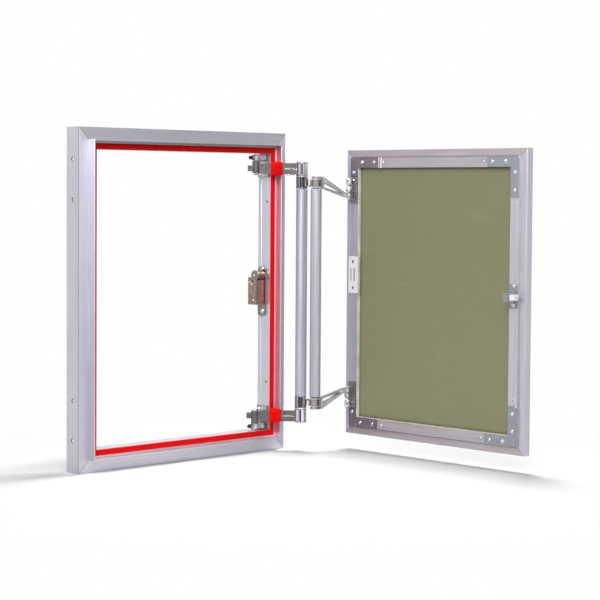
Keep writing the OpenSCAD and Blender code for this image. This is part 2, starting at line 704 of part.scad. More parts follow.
// Roller latch on the free stile: feet above and below, cheeks beside the roller, and a narrow
// loop that joins the cheeks in front of it
latch_x = door_w - 17;
latch_y = -13.4;
latch_r = 8.4;
latch_half = 5.2;
latch_t = 1.5;
foot_x = door_w - web_mid;
foot_screws = [18.9, -13.6];
module latch_bracket() {
    face = -web_h - eps;
    cheek = latch_half + 0.6;
    loop_y = -24;
    color(steel) on_door() translate([0, 0, latch_z])
        difference() {
            union() {
                translate([foot_x - 9, face - latch_t, cheek]) cube([18, latch_t, 16.4]);
                translate([foot_x - 9, face - latch_t, -cheek - 14]) cube([18, latch_t, 14]);
                for (z = [cheek, -cheek - latch_t])
                    translate([0, 0, z]) linear_extrude(latch_t)
                        polygon([[foot_x - 6.7, face], [foot_x - 6.7, loop_y - latch_t],
                            [foot_x + 3.3, loop_y - latch_t], [foot_x + 3.3, loop_y],
                            [latch_x + 3.4, latch_y - 3.4], [latch_x + 3.4, face]]);
                translate([foot_x - 6.7, loop_y - latch_t, -cheek - latch_t])
                    cube([10, latch_t, 2 * (cheek + latch_t)]);
            }
            translate([latch_x, latch_y, -20]) cylinder(r = 2.03, h = 40);
            for (z = foot_screws)
                translate([foot_x + 1, 0, z]) rotate([90, 0, 0]) cylinder(r = 2.1, h = 12);
        }
}

module latch_screws() {
    color(steel) on_door() translate([foot_x + 1, -web_h - eps - latch_t, latch_z])
        for (z = foot_screws)
            translate([0, 0, z]) rotate([90, 0, 0]) dome_screw(3.6, 1.8, 2.05, 1.4);
}

module latch_axle() {
    color(steel) on_door() translate([latch_x, latch_y, latch_z - latch_half - 3])
        cylinder(r = 2, h = 2 * latch_half + 6);
}

module latch_roller() {
    color(white) on_door() translate([latch_x, latch_y, latch_z]) difference() {
        rotate_extrude() polygon([[0, -latch_half], [latch_r - 0.5, -latch_half],
            [latch_r, -latch_half + 0.5], [latch_r, latch_half - 0.5],
            [latch_r - 0.5, latch_half], [0, latch_half]]);
        translate([0, 0, -10]) cylinder(r = 2.05, h = 20);
    }
}

// Lock on the right inner wall: mounting strip, folded case and a roller in its mouth
lock_y = 17;
lock_r = 8.6;
strip_screw_y = 19;
case_w = 22;
case_x1 = inner_x - 2;
case_x0 = case_x1 - case_w;
case_z0 = lock_z - 56;
case_z1 = lock_z - 4.2;
case_y0 = 12.5;
case_y1 = 35;
case_t = 1.5;
strip_z = [lock_z - 79, lock_z + 17];
strip_screws = [lock_z - 69, lock_z + 12.5];
module lock_plate() {
    color(nickel) from_flange() difference() {
        union() {
            translate([inner_x - 2, 10, strip_z[0] + 4]) cube([2, 21, strip_z[1] - strip_z[0] - 8]);
            for (z = [strip_z[0] + 10.5, strip_z[1] - 10.5]) translate([inner_x - 2, 20.5, z])
                rotate([0, 90, 0]) cylinder(r = 10.5, h = 2);
        }
        for (z = strip_screws)
            translate([inner_x - 3, strip_screw_y, z]) rotate([0, 90, 0])
                cylinder(r = 2.1, h = 4);
    }
}

module lock_case() {
    ears = [[case_x0, 9.4], [case_x1 - case_t, 7]];
    mouth = lock_r + 1;
    color(nickel) from_flange() difference() {
        union() {
            translate([case_x0, case_y0, case_z0])
                cube([case_w, case_y1 - case_y0, case_z1 - case_z0]);
            for (ear = ears) translate([ear[0], lock_y, lock_z])
                rotate([0, 90, 0]) cylinder(r = ear[1], h = case_t);
        }
        // Mouth for the roller, with a dark gap under it
        translate([case_x0 + case_t, lock_y, lock_z]) rotate([0, 90, 0])
            cylinder(r = mouth, h = case_w - 2 * case_t);
        translate([case_x0 + case_t, case_y0 - 9, lock_z - mouth])
            cube([case_w - 2 * case_t, lock_y - case_y0 + 9, 30]);
        // Inside of the folded sheet, open at the back
        translate([case_x0 + case_t, case_y0 + case_t, case_z0 + case_t])
            cube([case_w - 2 * case_t, case_y1 - case_y0, case_z1 - case_z0 - 12]);
        // Slot under the front sheet
        translate([case_x0 + 1, case_y0 - 1, case_z0 + 1])
            cube([case_w - 2, case_t + 2, 3]);
        // Curved slot between the lever's end and the side sheet
        translate([case_x0 - 1, lock_y + 1, lock_z + 2.5]) rotate([0, 90, 0]) difference() {
            cylinder(r = 17.2, h = case_t + 1.5);
            translate([0, 0, -1]) cylinder(r = 15.4, h = case_t + 4);
            translate([-20, -20, -1]) cube([40, 20, case_t + 4]);
            translate([-20, 8.5, -1]) cube([40, 20, case_t + 4]);
            translate([-20, -1, -1]) cube([20, 20, case_t + 4]);
        }
        // Rivet holes in the side sheet
        for (p = [[case_y1 - 6, case_z1 - 9], [case_y1 - 10, case_z1 - 14], [21, case_z0 + 8]])
            translate([case_x0 - 1, p[0], p[1]]) rotate([0, 90, 0]) cylinder(r = 1.3, h = case_t + 2);
        translate([case_x0 - 1, lock_y, lock_z]) rotate([0, 90, 0])
            cylinder(r = 2.02, h = case_w + 2);
    }
}

module lock_screws() {
    color(steel) from_flange()
        for (z = strip_screws)
            translate([inner_x - 2, strip_screw_y, z]) rotate([0, -90, 0])
                dome_screw(3.7, 1.8, 2.05, 1.9);
}

module lock_axle() {
    color(steel) from_flange() translate([case_x0 - 1, lock_y, lock_z]) rotate([0, 90, 0])
        cylinder(r = 2, h = case_w + 0.9);
}

module lock_roller() {
    len = case_w - 2 * case_t - 0.8;
    color(nickel) from_flange() translate([case_x0 + case_t + 0.4, lock_y, lock_z])
        rotate([0, 90, 0]) difference() {
            rotate_extrude() polygon([[0, 0], [lock_r - 1.6, 0], [lock_r, 1.6],
                [lock_r, len - 1.6], [lock_r - 1.6, len], [0, len]]);
            translate([0, 0, -1]) cylinder(r = 2.05, h = len + 2);
        }
}

// Keeper on the left inner wall: an angle whose lip stops the closed door's roller from
// going deeper
keeper_t = 1.5;
keeper_y = 20.3;
keeper_screw_y = 27;
keeper_screws_at = [-21, 21];
module keeper() {
    lip_half = 14;
    color(steel) from_flange() translate([-inner_x, 0, latch_z]) difference() {
        union() {
            translate([0, keeper_y, -26]) cube([keeper_t, 11.7, 52]);
            translate([0, keeper_y, -lip_half]) cube([9.5, keeper_t, 2 * lip_half]);
            for (z = [-lip_half, lip_half - keeper_t]) translate([0, 0, z])
                linear_extrude(keeper_t) polygon([[0, 21], [9, 21], [1, 31]]);
        }
        for (z = keeper_screws_at) translate([-1, keeper_screw_y, z]) rotate([0, 90, 0])
            cylinder(r = 2.1, h = 4);
    }
}

module keeper_screws() {
    color(steel) from_flange() translate([-inner_x + keeper_t, keeper_screw_y, latch_z])
        for (z = keeper_screws_at) translate([0, 0, z]) rotate([0, 90, 0])
            dome_screw(3.6, 1.8, 2.05, keeper_t - 0.1);
}

frame_stile_left();
frame_stile_right();
frame_rail_top();
frame_rail_bottom();
corner_cleats();
gasket_left();
gasket_right();
gasket_top();
gasket_bottom();
frame_bracket_upper();
frame_bracket_lower();
bracket_screws();
clamp_screws();
frame_pin_upper();
frame_pin_lower();
lock_plate();
lock_case();
lock_screws();
lock_axle();
lock_roller();
keeper();
keeper_screws();
inner_arm_upper();
inner_arm_lower();
bumper_upper();
bumper_lower();
inner_tube();
hinge_shaft_upper();
hinge_shaft_lower();
mid_link_upper();
mid_link_lower();
friction_bush_upper();
friction_bush_lower();
nylon_washers();
outer_tube();
outer_link_upper();
outer_link_lower();
outer_shaft_upper();
outer_shaft_lower();
door_stile_hinge();
door_stile_free();
door_rail_top();
door_rail_bottom();
door_board();
corner_plate_hinge_top();
corner_plate_hinge_bottom();
corner_plate_free_top();
corner_plate_free_bottom();
corner_rivets();
door_bracket_upper();
door_bracket_lower();
door_bracket_screws();
door_pin_upper();
door_pin_lower();
strike_plate();
strike_screws();
latch_bracket();
latch_screws();
latch_axle();
latch_roller();
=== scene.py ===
"""Dresses the tile access panel: the photo's camera, studio light, materials and finer pieces."""
import math

import bpy
import bmesh
from mathutils import Matrix, Vector, noise


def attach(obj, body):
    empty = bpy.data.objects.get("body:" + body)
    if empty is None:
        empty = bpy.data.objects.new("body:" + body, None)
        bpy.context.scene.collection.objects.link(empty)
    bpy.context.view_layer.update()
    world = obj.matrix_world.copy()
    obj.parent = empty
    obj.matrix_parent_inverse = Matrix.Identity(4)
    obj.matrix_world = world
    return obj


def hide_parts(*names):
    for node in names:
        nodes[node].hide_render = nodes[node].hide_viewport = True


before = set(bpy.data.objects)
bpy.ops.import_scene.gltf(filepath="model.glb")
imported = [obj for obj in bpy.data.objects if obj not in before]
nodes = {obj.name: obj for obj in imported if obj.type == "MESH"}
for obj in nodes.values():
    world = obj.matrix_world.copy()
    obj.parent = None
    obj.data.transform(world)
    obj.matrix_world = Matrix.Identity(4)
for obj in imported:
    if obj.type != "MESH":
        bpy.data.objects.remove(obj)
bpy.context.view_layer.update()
scene = bpy.context.scene
MM = 0.001
TAU = 2 * math.pi

# The frame's named sizes in mm, as in the part's source
FRAME_W, FRAME_H, FRAME_D = 500.0, 600.0, 34.0
MEMBER = 38.5
INNER_X = FRAME_W / 2 - MEMBER
FLANGE_Y = -FRAME_D / 2
RIB_IN, RIB_T = 21.75, 2.5
SEAL_A, SEAL_B, SEAL_FRONT = 27.6, 38.4, 2.8
BIG_HOLE, SMALL_HOLE, PILOT_HOLE, PILOT_Y = 56.0, 126.0, 129.0, -8.0
BIG_R, SMALL_R = 3.5, 2.5
LOCK_CASE_X = INNER_X - 24.0

# The hinge: pivots in plan, then the inner arm, its sleeve and barrel, and the outer link
P0 = Vector((185.5, -4.2))
P1 = Vector((246.122, -66.322))
P2 = Vector((252.393, -97.702))
ARM_A, BAR_T = math.radians(-45.7), 9.0
ARM_Z0, ARM_Z1 = 522.6, 544.0
ARM_MID = (ARM_Z0 + ARM_Z1) / 2
SLEEVE_S, SLEEVE_L, SLEEVE_HALF_T, SLEEVE_HALF_Z = 27.0, 25.4, 8.2, 13.9
BARREL_Z0, BARREL_Z1, BARREL_R = 519.2, 545.0, 11.5
OUTER_A, OUTER_L = math.radians(-27.3), 65.0
LINK_Z0, LINK_Z1, END_Z0, END_Z1 = 495.8, 518.5, 480.0, 489.0

# The door: where its own directions start, then its sizes
DOOR_AT = Vector((331.700, -103.070))
DOOR_A = math.radians(-91.5)
DOOR_W, DOOR_H, DOOR_Z0 = 438.0, 538.0, 31.0
DOOR_Z1 = DOOR_Z0 + DOOR_H
LIP, WEB, WEB_H = 14.0, 19.2, 4.5
INNER_EDGE = LIP + WEB
DOOR_PIN, PIN_Z0, PIN_Z1 = (25.0, -20.9), 504.2, 515.0
BOARD_Y = 2.3
STRIKE_SCREWS, STRIKE_MID, STRIKE_FACE = (309.0, 358.5), 333.75, 3.0

# How far a fine line or rim stands out of the surface that it marks
PROUD = 0.03


def door_point(u, y, z):
    """A point given in the door's own directions (mm) as a point of the row frame (m)."""
    c, s = math.cos(DOOR_A), math.sin(DOOR_A)
    return Vector((DOOR_AT.x + u * c - y * s, DOOR_AT.y + u * s + y * c, z)) * MM


def on_web(u, z, lift):
    """A point on the outer face of the door's raised web."""
    return door_point(u, -WEB_H - lift, z)


def arm_point(s, t, z):
    """A point s mm along the inner arm and t mm beside it."""
    c, n = math.cos(ARM_A), math.sin(ARM_A)
    return Vector((P0.x + s * c - t * n, P0.y + s * n + t * c, z)) * MM


def level(side, z):
    """A height of the upper hinge set (side 1), or its mirror image below (side -1)."""
    return z if side > 0 else FRAME_H - z


def circle(radius, steps):
    """Points round a circle, as pairs of offsets from its centre."""
    turns = [TAU * i / steps for i in range(steps)]
    return [(radius * math.cos(a), radius * math.sin(a)) for a in turns]


def rect(a0, a1, b0, b1):
    """A rectangle's corners as pairs."""
    return [(a0, b0), (a1, b0), (a1, b1), (a0, b1)]


def add_camera():
    """The photograph's view: focal length and centre in pixels of a 600 pixel frame."""
    frame_px, focal_px, cx, cy = 600, 1901.97, 281.58, 286.61
    yaw, pitch, roll = (math.radians(v) for v in (44.9206, 2.9069, 0.3532))
    eye = Vector((-2312.41, -2579.09, 493.06)) * MM
    level_part = math.cos(pitch)
    fwd = Vector((math.sin(yaw) * level_part, math.cos(yaw) * level_part, -math.sin(pitch)))
    right = Vector((math.cos(yaw), -math.sin(yaw), 0))
    up = right.cross(fwd)
    rolled_right = right * math.cos(roll) + up * math.sin(roll)
    rolled_up = -right * math.sin(roll) + up * math.cos(roll)
    cam = bpy.data.cameras.new("photo_camera")
    cam.sensor_width = 36
    cam.lens = focal_px / frame_px * cam.sensor_width
    cam.shift_x = (frame_px / 2 - cx) / frame_px
    cam.shift_y = (cy - frame_px / 2) / frame_px
    cam.clip_end = 50
    obj = bpy.data.objects.new("photo_camera", cam)
    scene.collection.objects.link(obj)
    m = Matrix((rolled_right, rolled_up, -fwd)).transposed().to_4x4()
    m.translation = eye
    obj.matrix_world = m
    scene.camera = obj


class Maker:
    """Builds one material's nodes with short calls."""

    def __init__(self, name):
        self.mat = bpy.data.materials.new(name)
        self.mat.use_nodes = True
        self.tree = self.mat.node_tree
        self.bsdf = next(n for n in self.tree.nodes if n.type == "BSDF_PRINCIPLED")
        self.coord = self.node("ShaderNodeTexCoord").outputs["Object"]

    def node(self, kind, **props):
        """A new node of a kind, with its properties set."""
        n = self.tree.nodes.new(kind)
        for key, value in props.items():
            setattr(n, key, value)
        return n

    def feed(self, socket, value):
        """Links a socket to an output, or sets its value."""
        if hasattr(value, "node"):
            self.tree.links.new(value, socket)
        elif socket.type == "RGBA":
            socket.default_value = (*value, 1)
        else:
            socket.default_value = value

    def fill(self, node, **values):
        """Feeds a node's named inputs; an underscore stands for a space."""
        for key, value in values.items():
            self.feed(node.inputs[key.replace("_", " ")], value)

    def set(self, **values):
        """Feeds the surface's own inputs."""
        self.fill(self.bsdf, **values)

    def place(self, axis):
        """One coordinate of the point in metres."""
        parts = self.node("ShaderNodeSeparateXYZ")
        self.feed(parts.inputs[0], self.coord)
        return parts.outputs[axis]

    def noise(self, scale, stretch=(1, 1, 1), detail=3.0, rough=0.55, offset=(0, 0, 0)):
        """Smooth noise that can be stretched and moved."""
        m = self.node("ShaderNodeMapping")
        self.fill(m, Vector=self.coord, Scale=stretch, Location=offset)
        n = self.node("ShaderNodeTexNoise")
        self.fill(n, Vector=m.outputs["Vector"], Scale=scale, Detail=detail, Roughness=rough)
        return n.outputs["Fac"]

    def ramp(self, fac, stops):
        """Colours between (place, colour) stops."""
        r = self.node("ShaderNodeValToRGB")
        for stop, (pos, colour) in zip(r.color_ramp.elements, stops):
            stop.position = pos
            stop.color = (*colour, 1)
        self.fill(r, Fac=fac)
        return r.outputs["Color"]

    def span(self, value, into, within=(0.3, 0.7), kind="LINEAR"):
        """Maps one range of a value (within) onto another (into), and holds it beyond."""
        m = self.node("ShaderNodeMapRange", interpolation_type=kind)
        self.fill(m, Value=value, From_Min=within[0], From_Max=within[1],
                  To_Min=into[0], To_Max=into[1])
        return m.outputs["Result"]

    def times(self, a, b):
        """The product of two values."""
        m = self.node("ShaderNodeMath", operation="MULTIPLY")
        self.feed(m.inputs[0], a)
        self.feed(m.inputs[1], b)
        return m.outputs[0]

    def vector(self, operation, a, b=(0, 0, 0)):
        """A step of vector arithmetic."""
        m = self.node("ShaderNodeVectorMath", operation=operation)
        self.feed(m.inputs[0], a)
        self.feed(m.inputs[1], b)
        return m.outputs["Value" if operation in ("LENGTH", "DOT_PRODUCT") else "Vector"]

    def mix(self, fac, a, b):
        """Colour a, and colour b by as much as fac says."""
        m = self.node("ShaderNodeMix", data_type="RGBA", blend_type="MIX")
        colours = [s for s in m.inputs if s.type == "RGBA"]
        for socket, value in ((m.inputs[0], fac), (colours[0], a), (colours[1], b)):
            self.feed(socket, value)
        return next(s for s in m.outputs if s.type == "RGBA")

    def crevice(self, colour, reach, depth, dark=(0.02, 0.018, 0.016)):
        """Painted shade: darkens a colour in corners and beside what stands on the surface."""
        near = self.node("ShaderNodeAmbientOcclusion", samples=6)
        self.fill(near, Distance=reach)
        return self.mix(self.span(near.outputs["AO"], (depth, 0.0), (0.25, 0.92)), colour, dark)

    def rounded(self, radius):
        """The surface's direction as if its edges were rounded."""
        edge = self.node("ShaderNodeBevel", samples=6)
        self.fill(edge, Radius=radius)
        return edge.outputs["Normal"]

    def edges(self, colour, radius, rim, amount):
        """Another colour along edges: a lighter one for worn edges, a darker one as painted
        shade.
        """
        flat = self.node("ShaderNodeNewGeometry").outputs["Normal"]
        same = self.vector("DOT_PRODUCT", self.rounded(radius), flat)
        return self.mix(self.span(same, (amount, 0.0), (0.75, 0.99)), colour, rim)

    def bump(self, fac, strength, distance, edge=0.0):
        """Fine relief, with rounded edges where edge is given in metres."""
        b = self.node("ShaderNodeBump")
        self.fill(b, Strength=strength, Distance=distance, Height=fac)
        if edge:
            self.fill(b, Normal=self.rounded(edge))
        self.set(Normal=b.outputs["Normal"])


def shade(tone, tint, times=1.0):
    """A tinted grey, kept below pure white."""
    return tuple(min(tone * times * c, 0.98) for c in tint)


LILAC = (0.985, 0.965, 1.08)
ROSE = (1.02, 0.955, 1.015)
WARM = (1.05, 0.96, 0.99)
COPPER = (1.2, 0.92, 0.78)
STREAK = 0.012
STRETCH = {"x": (STREAK, 1, 1), "y": (1, STREAK, 1), "z": (1, 1, STREAK)}


def brushed(name, along, tone, rough, tint=LILAC, bands=0.12, metal=0.9, crevice_shade=0.5, seal_reflection_and_dark_flange=False):
    """Extruded metal with fine streaks, broad die lines and faint clouds along one axis.

    With the last argument set, a painted reflection of the red seal warms the strip of the
    hinge-side stile between the seal and the rib, and the flange beyond the rib is darker.
    """
    k = Maker(name)
    fine = k.noise(900, STRETCH[along], detail=4, rough=0.7)
    broad = k.noise(230, STRETCH[along], detail=2, rough=0.5, offset=(0.3, 0.1, 0.2))
    cloud = k.noise(14, detail=4, rough=0.6)
    base = k.ramp(fine, [(0.3, shade(tone, tint, 0.93)), (0.7, shade(tone, tint, 1.07))])
    base = k.mix(k.span(broad, (0.0, 0.8), (0.45, 0.7)), base, shade(tone, tint, 1 - bands))
    base = k.mix(k.span(broad, (0.8, 0.0), (0.3, 0.48)), base, shade(tone, tint, 1 + bands))
    base = k.mix(k.span(cloud, (0.0, 0.4), (0.45, 0.75)), base, shade(tone, tint, 0.9))
    if seal_reflection_and_dark_flange:
        x = k.place("X")
        seal_x = (FRAME_W / 2 - SEAL_A) * MM
        rib_x = (FRAME_W / 2 - RIB_IN - RIB_T) * MM
        flange_x = (FRAME_W / 2 - RIB_IN) * MM
        beside = k.times(k.span(x, (0.0, 0.85), (seal_x - 0.0009, seal_x + 0.0001)),
                         k.span(x, (1.0, 0.0), (rib_x + 0.00045, rib_x + 0.00105)))
        # Painted reflection: the red seal's light tinted onto the strip beside it.
        base = k.mix(beside, base, (0.68, 0.47, 0.56))
        beyond = k.span(x, (0.0, 0.5), (flange_x + 0.00075, flange_x + 0.00175))
        base = k.mix(beyond, base, shade(tone, tint, 0.75))
    # Painted shade: the crevice step darkens the base colour in corners and beside raised parts.
    k.set(Base_Color=k.crevice(base, 0.004, crevice_shade), Metallic=metal,
          Roughness=k.span(fine, (rough - 0.05, rough + 0.08)))
    k.bump(fine, 0.1, 0.0001, 0.0004)
    return k.mat


def cast(name, tone, rough, tint, grain, wear_and_edge_shade, crevice_shade, edge, rim, vary, rim_width=0.001):
    """Cast metal: mottled, with painted shade in its corners; its edges are lighter where worn
    when rim is above 1, and darker with painted shade when rim is below 1.
    """
    k = Maker(name)
    fine = k.noise(1400, detail=3, rough=0.6)
    cloud = k.noise(150, detail=4, rough=0.65)
    base = k.ramp(cloud, [(0.32, shade(tone, tint, 1 - vary)),
                          (0.68, shade(tone, tint, 1 + vary))])
    base = k.edges(base, rim_width, shade(tone, tint, rim), wear_and_edge_shade)
    # Painted shade: the crevice step darkens the base colour in corners and beside raised parts.
    k.set(Base_Color=k.crevice(base, 0.004, crevice_shade), Metallic=1.0,
          Roughness=k.span(cloud, (rough + 0.1, rough - 0.05)))
    k.bump(fine, grain, 0.0001, edge)
    return k.mat


def plated_with_painted_reflections(name, low, high, rough=0.14, crevice_shade=0.85):
    """Bright plating with painted reflections: small light and dark patches, as polished steel
    shows among dark parts.
    """
    k = Maker(name)
    patch = k.noise(420, (1, 1, 0.6), detail=2, rough=0.5)
    base = k.ramp(patch, [(0.36, low), (0.52, high)])
    # Painted shade: the crevice step darkens the base colour in corners and beside raised parts.
    k.set(Base_Color=k.crevice(base, 0.003, crevice_shade), Metallic=1.0, Roughness=rough)
    k.bump(patch, 0.1, 0.0001, 0.0003)
    return k.mat


def patina(name):
    """Worn nickel over copper: brown, paler in front, with a painted reflection of the red seal
    as a red patch along the front edge.
    """
    front_x, seal_reflection_x, seal_reflection_y = (0.186, 0.192), (0.197, 0.206), (0.004, 0.006)
    k = Maker(name)
    cloud = k.noise(150, detail=4, rough=0.65)
    base = k.ramp(cloud, [(0.32, shade(0.21, COPPER, 0.55)), (0.68, shade(0.21, COPPER, 1.45))])
    base = k.mix(k.span(k.place("X"), (0.0, 0.6), front_x), base, shade(0.30, COPPER))
    # Painted reflection of the red seal along the case's front edge.
    near = k.times(k.span(k.place("X"), (0.0, 1.0), seal_reflection_x),
                   k.span(k.place("Y"), (1.0, 0.0), seal_reflection_y))
    red = k.times(near, k.span(cloud, (0.25, 1.0), (0.35, 0.6)))
    base = k.mix(red, base, (0.60, 0.05, 0.03))
    base = k.edges(base, 0.001, shade(0.2, COPPER, 2.2), 0.4)
    k.set(Base_Color=k.crevice(base, 0.004, 0.9), Metallic=0.85,
          Roughness=k.span(cloud, (0.36, 0.22)))
    k.bump(cloud, 0.2, 0.0001, 0.0005)
    return k.mat


def barrel(name, tone, dark_tone):
    """Cast link whose barrel round the second pivot is turned bright, with upright streaks."""
    reach = BARREL_R + 0.1
    k = Maker(name)
    cloud = k.noise(150, detail=4, rough=0.65)
    body = k.ramp(cloud, [(0.32, shade(dark_tone, WARM, 0.7)),
                          (0.68, shade(dark_tone, WARM, 1.3))])
    # Painted shade: dark outlines along the cast body's edges.
    body = k.edges(body, 0.001, shade(dark_tone, WARM, 0.3), 0.7)
    streak = k.noise(260, STRETCH["z"], detail=2, rough=0.5, offset=(0.02, 0.01, 0))
    turned = k.ramp(streak, [(0.4, shade(tone, LILAC, 0.42)), (0.56, shade(tone, LILAC, 1.35))])
    away = k.vector("SUBTRACT", k.coord, (P1.x * MM, P1.y * MM, 0))
    far = k.vector("LENGTH", k.vector("MULTIPLY", away, (1, 1, 0)))
    base = k.mix(k.span(far, (0.0, 1.0), (reach * MM, (reach + 0.3) * MM)), turned, body)
    k.set(Base_Color=k.crevice(base, 0.003, 0.8), Metallic=1.0, Roughness=0.22)
    k.bump(cloud, 0.1, 0.0001, 0.0005)
    return k.mat


def soft(name, colour, rough, vary=0.12, grain=600, depth=0.00008, strength=0.3, gloss=0.5,
         crevice_shade=0.4):
    """Rubber, nylon and blackened metal: slightly uneven in colour, with a fine grain."""
    k = Maker(name)
    fine = k.noise(grain, detail=3, rough=0.6)
    cloud = k.noise(40, detail=3, rough=0.5)
    base = k.ramp(cloud, [(0.3, shade(1, colour, 1 - vary)), (0.7, shade(1, colour, 1 + vary))])
    # Painted shade: the crevice step darkens the base colour in corners and beside raised parts.
    k.set(Base_Color=k.crevice(base, 0.003, crevice_shade, tuple(c * 0.25 for c in colour)),
          Roughness=k.span(fine, (rough - 0.05, rough + 0.08)), Specular_IOR_Level=gloss)
    k.bump(fine, strength, depth, 0.0003)
    return k.mat


def board_paper(name):
    """Green-grey facing paper with fibres, faint rubbed patches and a few scratches."""
    k = Maker(name)
    fibre = k.noise(1100, (1, 1, 0.35), detail=4, rough=0.7)
    patch = k.noise(9, detail=5, rough=0.62)
    speck = k.noise(160, detail=4, rough=0.75, offset=(0.1, 0.6, 0.2))
    rub = k.noise(22, (1, 0.5, 1.6), detail=5, rough=0.7, offset=(0.4, 0.2, 0.9))
    base = k.ramp(fibre, [(0.25, (0.205, 0.203, 0.106)), (0.75, (0.256, 0.252, 0.144))])
    base = k.mix(k.span(patch, (0.0, 0.55), (0.42, 0.68)), base, (0.224, 0.234, 0.130))
    base = k.mix(k.span(speck, (0.0, 0.5), (0.5, 0.75)), base, (0.272, 0.258, 0.155))
    base = k.mix(k.span(rub, (0.0, 0.45), (0.58, 0.8)), base, (0.315, 0.308, 0.205))
    for tilt, scale, offset in ((0.25, 5.0, 0.31), (-0.5, 4.0, 0.77), (1.2, 4.5, 0.12)):
        turn = k.node("ShaderNodeMapping")
        k.fill(turn, Vector=k.coord, Rotation=(tilt, 0, 0), Location=(0, offset, offset),
               Scale=(1, 1.2, 190))
        line = k.node("ShaderNodeTexNoise")
        k.fill(line, Vector=turn.outputs["Vector"], Scale=scale, Detail=1.0)
        scratch = k.span(line.outputs["Fac"], (0.0, 0.16), (0.7, 0.8))
        base = k.mix(scratch, base, (0.42, 0.42, 0.31))
    # Painted shadow: the crevice step darkens the paper beside the raised web round the board.
    k.set(Base_Color=k.crevice(base, 0.009, 0.75, (0.05, 0.046, 0.028)), Roughness=0.82,
          Specular_IOR_Level=0.2)
    k.bump(fibre, 0.25, 0.0001)
    return k.mat


# In the recipes, the crevice amount sets how strongly painted shade darkens corners. The edge
# amount sets how far edges take the rim colour: a lighter rim marks worn edges, a darker rim is
# painted shade.
RECIPES = {
    # The frame's and the door's members are one aluminium, and their tones differ member by
    # member as painted light and shade. The frame's top rail and the door's rails are darker; the
    # frame's bottom rail and the door's hinge stile are lighter.
    "alu_stile": (brushed, dict(along="z", tone=0.54, rough=0.36, bands=0.05, crevice_shade=0.12)),
    "alu_stile_hinge": (brushed, dict(along="z", tone=0.54, rough=0.36, bands=0.05, crevice_shade=0.12,
                                      seal_reflection_and_dark_flange=True)),
    "alu_rail": (brushed, dict(along="x", tone=0.39, rough=0.38, bands=0.06, crevice_shade=0.2)),
    "alu_sill": (brushed, dict(along="x", tone=0.60, rough=0.38, bands=0.06, crevice_shade=0.12)),
    "alu_door_hinge": (brushed, dict(along="z", tone=0.60, rough=0.36, bands=0.10, crevice_shade=0.15)),
    "alu_door_free": (brushed, dict(along="z", tone=0.50, rough=0.36, bands=0.10, crevice_shade=0.1)),
    "alu_door_y": (brushed, dict(along="y", tone=0.41, rough=0.38, tint=ROSE, bands=0.08)),
    "tube": (brushed, dict(along="z", tone=0.42, rough=0.5, tint=(0.96, 0.95, 1.12), bands=0.3,
                           metal=0.22)),
    # The chrome and knuckle edges take a dark rim colour: painted shade.
    "chrome": (cast, dict(tone=0.44, rough=0.22, tint=(0.98, 0.97, 1.0), grain=0.15, wear_and_edge_shade=0.95,
                          crevice_shade=0.9, edge=0.0006, rim=0.08, vary=0.35, rim_width=0.003)),
    "arm": (barrel, dict(tone=0.62, dark_tone=0.14)),
    "mid": (barrel, dict(tone=0.34, dark_tone=0.30)),
    "bright": (plated_with_painted_reflections, dict(low=(0.10, 0.095, 0.10), high=(0.90, 0.89, 0.92))),
    "rivet": (plated_with_painted_reflections, dict(low=(0.16, 0.155, 0.165), high=(0.86, 0.85, 0.88), rough=0.24,
                           crevice_shade=0.92)),
    "plate_warm": (cast, dict(tone=0.19, rough=0.42, tint=(1.04, 0.88, 1.02), grain=0.2,
                              wear_and_edge_shade=0.35, crevice_shade=0.85, edge=0.0004, rim=1.6, vary=0.2)),
    "plate_cool": (cast, dict(tone=0.30, rough=0.36, tint=(0.93, 0.98, 1.10), grain=0.2,
                              wear_and_edge_shade=0.3, crevice_shade=0.8, edge=0.0004, rim=1.4, vary=0.12)),
    "knuckle": (cast, dict(tone=0.46, rough=0.26, tint=(0.99, 0.97, 1.03), grain=0.15, wear_and_edge_shade=0.6,
                           crevice_shade=0.9, edge=0.0005, rim=0.3, vary=0.25, rim_width=0.0012)),
    "black": (soft, dict(colour=(0.012, 0.012, 0.013), rough=0.38)),
    "bush": (soft, dict(colour=(0.02, 0.02, 0.026), rough=0.4)),
    "seal": (soft, dict(colour=(0.66, 0.002, 0.002), rough=0.6, vary=0.08, grain=500,
                        depth=0.00006, strength=0.25, gloss=0.06)),
    "sleeve": (soft, dict(colour=(0.84, 0.002, 0.001), rough=0.75, vary=0.2, grain=420,
                          depth=0.0006, strength=0.9, gloss=0.04, crevice_shade=0.8)),
    "nickel": (cast, dict(tone=0.23, rough=0.32, tint=(1.06, 0.98, 0.92), grain=0.3, wear_and_edge_shade=0.45,
                          crevice_shade=0.9, edge=0.0005, rim=2.0, vary=0.45)),
    "roller": (cast, dict(tone=0.16, rough=0.46, tint=COPPER, grain=0.3, wear_and_edge_shade=0.45, crevice_shade=0.9,
                          edge=0.0005, rim=2.0, vary=0.45)),
    "patina": (patina, {}),
    "nylon": (soft, dict(colour=(0.86, 0.85, 0.86), rough=0.35, vary=0.03)),
    "white": (soft, dict(colour=(0.84, 0.82, 0.84), rough=0.45, vary=0.03, strength=0.2,
                         gloss=0.4, crevice_shade=0.6)),
    "cream": (soft, dict(colour=(0.76, 0.72, 0.68), rough=0.8, vary=0.2, grain=300,
                         depth=0.0001, gloss=0.2, crevice_shade=0.1)),
    "groove": (soft, dict(colour=(0.16, 0.155, 0.17), rough=0.6, vary=0.1, strength=0.2,
                          gloss=0.3, crevice_shade=0.2)),
    "board": (board_paper, {}),
}
MATERIALS = {name: make(name, **values) for name, (make, values) in RECIPES.items()}
